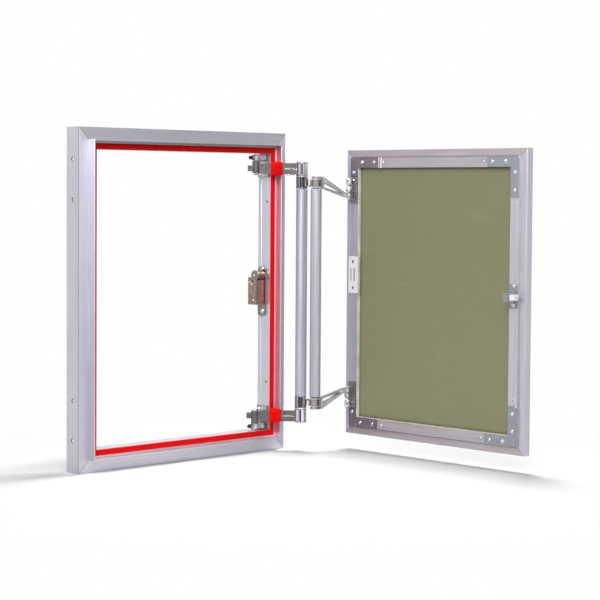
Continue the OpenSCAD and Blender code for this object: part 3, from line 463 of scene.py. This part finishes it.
PAINT = {
    "alu_stile": ["frame_stile_left", "corner_cleats"],
    "alu_stile_hinge": ["frame_stile_right"],
    "alu_rail": ["frame_rail_top"],
    "alu_sill": ["frame_rail_bottom"],
    "alu_door_hinge": ["door_stile_hinge"],
    "alu_door_free": ["door_stile_free"],
    "alu_door_y": ["door_rail_top", "door_rail_bottom"],
    "tube": ["inner_tube", "outer_tube"],
    "seal": ["gasket_left", "gasket_right", "gasket_top", "gasket_bottom"],
    "sleeve": ["bumper_upper", "bumper_lower"],
    "arm": ["inner_arm_upper", "inner_arm_lower"],
    "mid": ["mid_link_upper", "mid_link_lower"],
    "chrome": ["frame_bracket_upper", "frame_bracket_lower", "outer_link_upper",
               "outer_link_lower"],
    "bright": ["bracket_screws", "frame_pin_upper", "frame_pin_lower", "lock_screws", "lock_axle",
               "keeper_screws", "hinge_shaft_upper", "hinge_shaft_lower", "outer_shaft_upper",
               "outer_shaft_lower", "door_pin_upper", "door_pin_lower", "latch_screws",
               "latch_axle"],
    "rivet": ["corner_rivets"],
    "knuckle": ["door_bracket_upper", "door_bracket_lower"],
    "plate_cool": ["keeper", "corner_plate_free_top", "corner_plate_free_bottom",
                   "latch_bracket"],
    "plate_warm": ["corner_plate_hinge_top", "corner_plate_hinge_bottom"],
    "black": ["clamp_screws", "door_bracket_screws", "strike_screws"],
    "bush": ["friction_bush_upper", "friction_bush_lower"],
    "nickel": ["lock_plate"],
    "roller": ["lock_roller"],
    "patina": ["lock_case"],
    "nylon": ["nylon_washers", "latch_roller"],
    "white": ["strike_plate"],
    "board": ["door_board"],
}


def paint_nodes():
    """Gives every solid its material."""
    for key, names in PAINT.items():
        for name in names:
            mesh = nodes[name].data
            mesh.materials.clear()
            mesh.materials.append(MATERIALS[key])


def add_piece(name, bm, body, material, replaced=(), sharp=35, bevel=0.0, subdivide=0):
    """Turns a built mesh into a piece that rides a body and takes one of the materials."""
    bmesh.ops.recalc_face_normals(bm, faces=bm.faces)
    mesh = bpy.data.meshes.new(name)
    bm.to_mesh(mesh)
    bm.free()
    for face in mesh.polygons:
        face.use_smooth = True
    mesh.set_sharp_from_angle(angle=math.radians(sharp))
    mesh.materials.append(MATERIALS[material])
    obj = bpy.data.objects.new(name, mesh)
    scene.collection.objects.link(obj)
    if bevel:
        mod = obj.modifiers.new("edges", "BEVEL")
        mod.width = bevel * MM
        mod.segments = 2
        mod.limit_method = "ANGLE"
    if subdivide:
        mod = obj.modifiers.new("smooth", "SUBSURF")
        mod.levels = mod.render_levels = subdivide
    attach(obj, body)
    if replaced:
        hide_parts(*replaced)


def add_loops(bm, loops, closed=False):
    """Joins rings of points with faces; closed joins the last ring to the first."""
    rings = [[bm.verts.new(p) for p in loop] for loop in loops]
    n = len(rings[0])
    pairs = list(zip(rings, rings[1:]))
    if closed:
        pairs.append((rings[-1], rings[0]))
    for a, b in pairs:
        for i in range(n):
            j = (i + 1) % n
            bm.faces.new((a[i], a[j], b[j], b[i]))
    return rings


def add_stack(bm, loops):
    """A closed solid through a row of outlines with the same number of points."""
    rings = add_loops(bm, loops)
    bm.faces.new(rings[0])
    bm.faces.new(list(reversed(rings[-1])))


def add_bar(bm, outline, ends, place):
    """A bar with one outline of pairs at both ends, put there by place(a, b, end)."""
    add_stack(bm, [[place(a, b, end) for a, b in outline] for end in ends])


def add_ring(bm, centre, profile, side=1, steps=48, flutes=0, depth=0.0):
    """Revolves a closed profile of (radius, height) points round an upright axis."""
    loops = []
    for i in range(steps):
        a = TAU * i / steps
        loop = []
        for r, z in profile:
            out = r + (depth * math.cos(flutes * a) if flutes and r > profile[0][0] else 0)
            x, y = centre.x + out * math.cos(a), centre.y + out * math.sin(a)
            loop.append(Vector((x, y, level(side, z))) * MM)
        loops.append(loop)
    add_loops(bm, loops, closed=True)


def power_loop(count, half_a, half_b, power):
    """Points round an outline between an ellipse (power 2) and a rectangle."""
    out = []
    for c, s in circle(1, count):
        a = half_a * math.copysign(abs(c) ** (2 / power), c)
        b = half_b * math.copysign(abs(s) ** (2 / power), s)
        out.append((a, b, c, s))
    return out


def add_sleeve(side, tag):
    """Soft sleeve wrapped round the arm: swollen in its middle, with ends that draw inwards."""
    count, stations, play = 40, 22, 0.1
    hole_t, hole_z = BAR_T / 2 + play, (ARM_Z1 - ARM_Z0) / 2 + play
    outer_power, hole_power = 4.5, 12
    draw_in, swelling, taper, ripple = 2.4, 0.10, 0.05, 0.04
    grain_scale, grain_depth = 0.55, 0.35

    def run(f, c):
        """The place along the arm at a share f of the length, drawn in at the sides."""
        draw = draw_in * abs(c) ** 1.5
        return SLEEVE_S + draw * 0.5 + f * (SLEEVE_L - draw * 1.5)

    loops = []
    for k in range(stations + 1):
        f = k / stations
        crown = math.sin(math.pi * min(f * 1.15, 1))
        swell = 1 - swelling + swelling * crown - taper * (f ** 6)
        loop = []
        for t, z, c, s in power_loop(count, SLEEVE_HALF_T, SLEEVE_HALF_Z, outer_power):
            along = run(f, c)
            grain = noise.noise(Vector((along, t, z)) * grain_scale) * grain_depth
            scale = swell * (1 - ripple * abs(math.sin(3 * f + s)))
            reach = max((abs(t) + abs(z)), 0.1)
            loop.append(arm_point(along, t * scale + grain * t / reach,
                                  level(side, ARM_MID + z * scale + grain * z / reach)))
        loops.append(loop)
    for f in (1, 0):
        loops.append([arm_point(run(f, c), t, level(side, ARM_MID + z))
                      for t, z, c, s in power_loop(count, hole_t, hole_z, hole_power)])
    bm = bmesh.new()
    add_loops(bm, loops, closed=True)
    add_piece(f"sleeve_{tag}", bm, "inner_arms", "sleeve", (f"bumper_{tag}",),
              50, subdivide=1)


def seal_profile():
    """Soft face of the seal as (distance from the outer wall, height before the flange)."""
    mid, half, foot, wall = (SEAL_A + SEAL_B) / 2, (SEAL_B - SEAL_A) / 2, 0.02, 0.3
    crown_height, crown_power, groove_depth, groove_width = SEAL_FRONT - 0.35, 3.2, 0.45, 0.16
    steps = 9
    points = [(mid - half, foot)]
    for i in range(2 * steps + 1):
        f = -1 + i / steps
        crown = (1 - abs(f) ** crown_power) ** 0.5
        groove = groove_depth * math.exp(-(f / groove_width) ** 2)
        points.append((mid + half * f, wall + crown_height * crown - groove))
    points.append((mid + half, foot))
    return points


def add_seal(where, upright, far):
    """One mitred length of the seal; far is 0 on the left or at the bottom, 1 opposite."""
    length, across = (FRAME_H, FRAME_W) if upright else (FRAME_W, FRAME_H)
    stations, waviness, crown_from = 60, 0.07, 0.5
    loops = []
    for k in range(stations + 1):
        loop = []
        for i, (d, h) in enumerate(seal_profile()):
            run = d + (length - 2 * d) * k / stations
            wave = waviness * noise.noise(Vector((run * 0.03, i * 0.2, 3.1 * far + upright)))
            y = FLANGE_Y - h - wave * (h > crown_from)
            place = across - d if far else d
            if upright:
                loop.append(Vector((place - FRAME_W / 2, y, run)) * MM)
            else:
                loop.append(Vector((run - FRAME_W / 2, y, place)) * MM)
        loops.append(loop)
    bm = bmesh.new()
    add_stack(bm, loops)
    add_piece(f"seal_{where}", bm, "frame", "seal", (f"gasket_{where}",), 50)


def add_hinge_trim(side, tag):
    """Barrel washer, a slot darkened as painted shade, lines, the arm's lip and inlays, and the
    knurled pin head.
    """
    bm = bmesh.new()
    bore, rim, waist, gap = 5.2, 11.45, 11.7, 0.04
    z0, z1 = LINK_Z1 + gap, BARREL_Z0 - gap
    add_ring(bm, P1, [(bore, z0), (rim, z0), (waist, (z0 + z1) / 2), (rim, z1), (bore, z1)], side)
    add_piece(f"thrust_washer_{tag}", bm, "mid_links", "nylon")

    slot_a, slot_end, slot_half, slot_reach = math.radians(224), 2.1, 1.5, (5.4, BARREL_R - 1.2)
    out = Vector((math.cos(slot_a), math.sin(slot_a)))
    beside = Vector((-out.y, out.x))
    # Painted shade: a black solid fills the slot and hides the shaft inside it.
    bm = bmesh.new()
    add_bar(bm, rect(-slot_half, slot_half, BARREL_Z0 + slot_end, BARREL_Z1 - slot_end),
            slot_reach,
            lambda t, z, r: Vector((*(P1 + out * r + beside * t), level(side, z))) * MM)
    add_piece(f"barrel_slot_shade_{tag}", bm, "inner_arms", "bush", bevel=0.3)

    bm = bmesh.new()
    line_at, line_half, line_root = 1.3, 0.35, BARREL_R - 0.6
    for z in (BARREL_Z0 + line_at, BARREL_Z1 - line_at):
        outline = rect(line_root, BARREL_R + 2 * PROUD, z - line_half, z + line_half)
        add_ring(bm, P1, outline, side, 64)
    add_piece(f"barrel_lines_{tag}", bm, "inner_arms", "bush")

    def beside_arm(t, z, s):
        """A point of the bars below and on the arm, in the order that add_bar gives."""
        return arm_point(s, t, level(side, z))

    bm = bmesh.new()
    lip, lug, narrowing = (ARM_Z0 - 1.9, ARM_Z0 + 0.1), (ARM_Z0 - 2.3, ARM_Z0 - 0.4), 0.6
    for ends, half, (low, high) in (((56.0, 73.5), 3.6, lip), ((58.0, 62.0), 4.2, lug),
                                    ((66.0, 70.0), 4.2, lug)):
        foot = half - narrowing
        add_bar(bm, [(-half, high), (half, high), (foot, low), (-foot, low)], ends, beside_arm)
    add_piece(f"arm_lip_{tag}", bm, "inner_arms", "bright", bevel=0.2)

    bm = bmesh.new()
    root, face, narrow, wide = BAR_T / 2 - 0.9, BAR_T / 2 - 0.15, 0.45, 1.1
    inlay_ends = (54.1, 74.5)
    for way in (1, -1):
        add_bar(bm, [(way * root, ARM_MID - narrow), (way * face, ARM_MID - wide),
                     (way * face, ARM_MID + wide), (way * root, ARM_MID + narrow)],
                inlay_ends, beside_arm)
    add_piece(f"arm_inlay_{tag}", bm, "inner_arms", "mid", bevel=0.1)

    bm = bmesh.new()
    pin = door_point(*DOOR_PIN, 0) / MM
    bore, rim, waist, chamfer, flutes, flute_depth = 4.0, 5.25, 5.4, 0.8, 24, 0.14
    add_ring(bm, pin, [(bore, PIN_Z0), (rim, PIN_Z0), (waist, PIN_Z0 + chamfer),
                       (waist, PIN_Z1 - chamfer), (rim, PIN_Z1), (bore, PIN_Z1)],
             side, 96, flutes, flute_depth)
    add_piece(f"pin_knurl_{tag}", bm, "door", "rivet", sharp=60)


def add_link_lines(side, tag):
    """Painted shade: dark bands along the rounded edges on both sides of the outer link's two
    bars.
    """
    along = Vector((math.cos(OUTER_A), math.sin(OUTER_A)))
    beside = Vector((-along.y, along.x))
    inner, outer, height = 4.3, 4.56, 1.3
    # Each edge's ends as (distance from the pivot, height), and the way it grows
    edges = [((12.5, LINK_Z1 - 0.1), (OUTER_L - 9.2, END_Z1 - 0.2), -1),
             ((15.0, LINK_Z1 - 12.2), (OUTER_L - 15.0, END_Z0 + 7.7), 1),
             ((15.0, LINK_Z0 + 2.6), (OUTER_L - 15.5, END_Z0 + 7.1), -1),
             ((12.5, LINK_Z0 + 0.1), (OUTER_L - 9.2, END_Z0 + 0.1), 1)]

    def on_link(t, dz, end):
        """A point t mm beside the link, dz above one end (distance, height) of an edge."""
        return Vector((*(P2 + along * end[0] + beside * t), level(side, end[1] + dz))) * MM

    bm = bmesh.new()
    for start, end, grow in edges:
        for way in (1, -1):
            add_bar(bm, rect(way * inner, way * outer, 0, height * grow), (start, end), on_link)
    add_piece(f"link_edge_shade_{tag}", bm, "outer_links", "groove")


def add_web_disc(bm, u, z, radius, lift, thick):
    """A small disc with a raised rim and a dished face on the web."""
    steps, rim, dish = 20, 0.05, 0.1
    rings = [(radius, lift - thick), (radius, lift), (radius * 0.8, lift + rim),
             (radius * 0.35, lift - dish)]
    add_stack(bm, [[on_web(u + du, z + dz, h) for du, dz in circle(r, steps)]
                   for r, h in rings])


def add_door_trim():
    """Plugs in the corner plates, dark marks on the web, and the clip over the top rail."""
    web_mid = LIP + WEB / 2
    bm = bmesh.new()
    inset, arm_u, arm_z = 17, 33.5, 32
    plug = dict(radius=1.5, lift=0.9, thick=0.6)
    for u, z in ((arm_u, DOOR_Z1 - inset), (inset, DOOR_Z1 - arm_z),
                 (arm_u, DOOR_Z0 + inset), (inset, DOOR_Z0 + arm_z),
                 (DOOR_W - arm_u, DOOR_Z1 - inset), (DOOR_W - inset, DOOR_Z1 - arm_z),
                 (DOOR_W - arm_u, DOOR_Z0 + inset), (DOOR_W - inset, DOOR_Z0 + arm_z)):
        add_web_disc(bm, u, z, **plug)
    add_piece("plate_hole_plugs", bm, "door", "rivet")

    bm = bmesh.new()
    corner, punch, from_end, thick = INNER_EDGE - 1.2, web_mid - 0.8, 97, 0.3
    for u, z in ((corner, DOOR_Z1 - corner), (DOOR_W - from_end, DOOR_Z1 - punch),
                 (DOOR_W - punch, DOOR_Z0 + from_end), (DOOR_W - from_end, DOOR_Z0 + punch)):
        add_web_disc(bm, u, z, 1.3, 0.75, thick)
    # The strike plate's screws and slits, counted from the lip
    for z in STRIKE_SCREWS:
        for u, step, radius in ((9.6, 0.0, 2.3), (11.2, 2.6, 1.2), (8.0, -2.6, 1.0)):
            add_web_disc(bm, LIP + u, z + step, radius, STRIKE_FACE + 2 * PROUD, thick)
    slit_half = 0.45
    for u, reach in ((LIP + 5.2, 11.5), (LIP + 12.2, 12.5)):
        add_bar(bm, rect(u - slit_half, u + slit_half, STRIKE_FACE - 0.2, STRIKE_FACE + 0.05),
                (STRIKE_MID - reach, STRIKE_MID + reach), lambda u, h, z: on_web(u, z, h))
    # Where the rails' lip meets their web
    line_half, line_end = 0.3, LIP + 0.4
    for z in (DOOR_Z0 + LIP, DOOR_Z1 - LIP):
        add_bar(bm, rect(z - line_half, z + line_half, -line_half, 0.04),
                (line_end, DOOR_W - line_end), lambda z, h, u: on_web(u, z, h))
    # The gap at the board's upper corner on the hinge side
    gap_u, gap_z = INNER_EDGE + 0.6, DOOR_Z1 - INNER_EDGE
    add_bar(bm, [(gap_u, gap_z - 3.4), (gap_u + 3.4, gap_z - 3.0), (gap_u + 3.8, gap_z - 0.1),
                 (gap_u, gap_z - 0.1)], (BOARD_Y - 0.5, BOARD_Y + 0.3),
            lambda u, z, y: door_point(u, y, z))
    add_piece("punch_marks", bm, "door", "black")

    bm = bmesh.new()
    root, face = 0.02, 1.1
    for u0, u1 in ((84.0, 87.2), (91.2, 93.6)):
        add_bar(bm, [(u0, root), (u0, face), (u1, face), (u1, root)],
                (DOOR_Z1 - INNER_EDGE - 0.4, DOOR_Z1 - LIP - 0.3),
                lambda u, h, z: on_web(u, z, h))
    add_piece("web_clip", bm, "door", "nylon", bevel=0.15)


def add_board_edges():
    """Pale sealing strips on the inner walls of the raised web, round the board."""
    thick, sunk, lift = 0.5, 0.15, 0.05
    near, far = INNER_EDGE, INNER_EDGE + thick
    low, high = DOOR_Z0 + near, DOOR_Z1 - near
    bm = bmesh.new()
    for outline in (rect(near, far, low, high), rect(DOOR_W - far, DOOR_W - near, low, high),
                    rect(far, DOOR_W - far, low, DOOR_Z0 + far)):
        add_bar(bm, outline, (sunk - WEB_H, BOARD_Y - lift), lambda u, z, y: door_point(u, y, z))
    add_piece("board_edge_strips", bm, "door", "cream")


def add_side_shade_lines():
    """Painted shade: a fine dark line along the frame's outer walls, close behind the front edge.
    """
    bm = bmesh.new()
    root, y0, y1, end = FRAME_W / 2 - 0.3, FLANGE_Y + 1.2, FLANGE_Y + 2.3, 0.6
    for way in (-1, 1):
        add_bar(bm, rect(way * root, way * (FRAME_W / 2 + PROUD), y0, y1),
                (end, FRAME_H - end), lambda x, y, z: Vector((x, y, z)) * MM)
    add_piece("frame_side_shade_lines", bm, "frame", "groove")


def add_wall_ring(bm, near, far, y, z, inner, outer):
    """A flat ring standing on a side wall, between two X places."""
    add_loops(bm, [[Vector((x, y + dy, z + dz)) * MM for dy, dz in circle(r, 24)]
                   for x, r in ((near, inner), (near, outer), (far, outer), (far, inner))],
              closed=True)


def add_hole_shade_rings():
    """Painted shade: dark rings round the screw holes in both outer walls, and dark discs in the
    pilot holes inside.
    """
    bm = bmesh.new()
    outer_x, rim, root = FRAME_W / 2, 0.9, 0.4
    pilot_x, pilot_radii = (INNER_X - 0.05, INNER_X + 0.3), (0.3, 2.2)
    for way in (-1, 1):
        for side in (-1, 1):
            for z, radius in ((BIG_HOLE, BIG_R), (SMALL_HOLE, SMALL_R)):
                add_wall_ring(bm, way * (outer_x - root), way * (outer_x + PROUD), 0,
                              level(side, z), radius, radius + rim)
            add_wall_ring(bm, way * pilot_x[0], way * pilot_x[1], PILOT_Y,
                          level(side, PILOT_HOLE), *pilot_radii)
    add_piece("hole_shade_rings", bm, "frame", "bush")


def add_mitres(name, body, start, end, place):
    """Fine dark lines at a body's four mitres; place(right, top, across, up, height)."""
    half, root = 0.22, -0.2
    bm = bmesh.new()
    for right in (0, 1):
        for top in (0, 1):
            add_bar(bm, [(-half, root), (-half, PROUD), (half, PROUD), (half, root)],
                    (start, end), lambda a, h, d: place(right, top, d + a, d - a, h))
    add_piece(name, bm, body, "bush")


def add_seams():
    """The mitres of the frame's flange and of the door's lip."""

    def on_flange(right, top, across, up, height):
        x = FRAME_W / 2 - across if right else across - FRAME_W / 2
        return Vector((x, FLANGE_Y - height, FRAME_H - up if top else up)) * MM

    def on_lip(right, top, across, up, height):
        u = DOOR_W - across if right else across
        return door_point(u, -height, DOOR_Z1 - up if top else DOOR_Z0 + up)

    add_mitres("frame_mitre_seams", "frame", 0.4, RIB_IN - 0.35, on_flange)
    add_mitres("door_mitre_seams", "door", 0.8, LIP - 0.2, on_lip)


def add_wire(name, points, radius, body, material):
    """A bent wire along given points."""
    curve = bpy.data.curves.new(name, "CURVE")
    curve.dimensions = "3D"
    curve.bevel_depth = radius * MM
    curve.bevel_resolution = 3
    curve.use_fill_caps = True
    line = curve.splines.new("BEZIER")
    line.bezier_points.add(len(points) - 1)
    for knot, p in zip(line.bezier_points, points):
        knot.co = Vector(p) * MM
        knot.handle_left_type = knot.handle_right_type = "AUTO"
    curve.materials.append(MATERIALS[material])
    obj = bpy.data.objects.new(name, curve)
    scene.collection.objects.link(obj)
    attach(obj, body)


def add_lock_trim():
    """The spring's end that stands out of the lock case, and its bright rivets."""
    case_x, wire_radius = LOCK_CASE_X, 0.55
    add_wire("lock_spring_end", [(case_x + 4, 9.5, 317.5), (case_x - 1, 9.5, 318.0),
                                 (case_x - 7, 9.8, 318.3), (case_x - 12.5, 10.0, 318.2)],
             wire_radius, "frame", "rivet")
    bm = bmesh.new()
    head = ((1.9, 0.02), (1.8, 0.4), (1.2, 0.62), (0.5, 0.55))
    for y, z in ((12.0, 318.8), (8.0, 313.8), (4.0, 284.0)):
        add_stack(bm, [[Vector((case_x - out, y + dy, z + dz)) * MM for dy, dz in circle(r, 20)]
                       for r, out in head])
    add_piece("lock_rivets", bm, "frame", "rivet")


def add_world():
    """White to the camera and in reflections, and a weaker fill light on all surfaces."""
    world = bpy.data.worlds.new("studio")
    scene.world = world
    world.use_nodes = True
    t = world.node_tree
    t.nodes.clear()
    path = t.nodes.new("ShaderNodeLightPath")
    seen = path.outputs["Is Camera Ray"]
    for ray in ("Is Glossy Ray", "Is Transmission Ray"):
        also = t.nodes.new("ShaderNodeMath")
        also.operation = "MAXIMUM"
        t.links.new(seen, also.inputs[0])
        t.links.new(path.outputs[ray], also.inputs[1])
        seen = also.outputs[0]
    mix = t.nodes.new("ShaderNodeMixShader")
    t.links.new(seen, mix.inputs["Fac"])
    for socket, colour, strength in ((mix.inputs[1], (0.96, 0.98, 1.0, 1), 0.34),
                                     (mix.inputs[2], (1, 1, 1, 1), 1.0)):
        light = t.nodes.new("ShaderNodeBackground")
        light.inputs["Color"].default_value = colour
        light.inputs["Strength"].default_value = strength
        t.links.new(light.outputs[0], socket)
    out = t.nodes.new("ShaderNodeOutputWorld")
    t.links.new(mix.outputs[0], out.inputs["Surface"])


def area(name, at, to, width, watts, gloss=True, matte=True):
    """A soft lamp that shows in polished metal (gloss), on other surfaces (matte), or both."""
    light = bpy.data.lights.new(name, "AREA")
    light.shape = "RECTANGLE"
    light.size = light.size_y = width
    light.energy = watts
    obj = bpy.data.objects.new(name, light)
    scene.collection.objects.link(obj)
    obj.location = at
    obj.rotation_euler = (Vector(to) - Vector(at)).to_track_quat("-Z", "Y").to_euler()
    obj.visible_diffuse = matte
    obj.visible_glossy = gloss


def add_floor():
    """A pale round floor that keeps the shadow and fades into the white background."""
    radius, albedo, fade, middle = 2.2, 0.66, (0.42, 0.85), (0.1, -0.2, -0.0005)
    mesh = bpy.data.meshes.new("studio_floor")
    bm = bmesh.new()
    bmesh.ops.create_circle(bm, cap_ends=True, segments=64, radius=radius)
    bm.to_mesh(mesh)
    bm.free()
    obj = bpy.data.objects.new("studio_floor", mesh)
    scene.collection.objects.link(obj)
    obj.location = middle
    k = Maker("studio_floor")
    k.set(Base_Color=(albedo, albedo, albedo), Roughness=0.9, Specular_IOR_Level=0.0)
    mix = k.node("ShaderNodeMixShader")
    k.feed(mix.inputs["Fac"], k.span(k.vector("LENGTH", k.coord), (0.0, 1.0), fade, "SMOOTHSTEP"))
    k.feed(mix.inputs[1], k.bsdf.outputs[0])
    k.feed(mix.inputs[2], k.node("ShaderNodeBsdfTransparent").outputs[0])
    out = next(n for n in k.tree.nodes if n.type == "OUTPUT_MATERIAL")
    k.feed(out.inputs["Surface"], mix.outputs[0])
    mesh.materials.append(k.mat)


add_camera()
paint_nodes()
for side, tag in ((1, "upper"), (-1, "lower")):
    add_sleeve(side, tag)
    add_hinge_trim(side, tag)
    add_link_lines(side, tag)
for where, upright, far in (("left", True, 0), ("right", True, 1), ("bottom", False, 0),
                            ("top", False, 1)):
    add_seal(where, upright, far)
add_door_trim()
add_board_edges()
add_side_shade_lines()
add_hole_shade_rings()
add_seams()
add_lock_trim()

add_world()
add_floor()
PANEL_MIDDLE = (0.1, -0.1, 0.4)
area("front_fill", (-1.5, -1.9, 2.0), PANEL_MIDDLE, 1.4, 33)
area("left_fill", (-2.2, -0.8, 1.6), PANEL_MIDDLE, 1.4, 25)
area("top", (0.50, -0.12, 1.8), (0.25, -0.15, 0.0), 0.40, 38, gloss=False)
area("metal_strip", (-0.8, -0.75, 1.4), (-0.1, -0.05, 0.6), 0.8, 78, matte=False)

scene.view_settings.view_transform = "Standard"
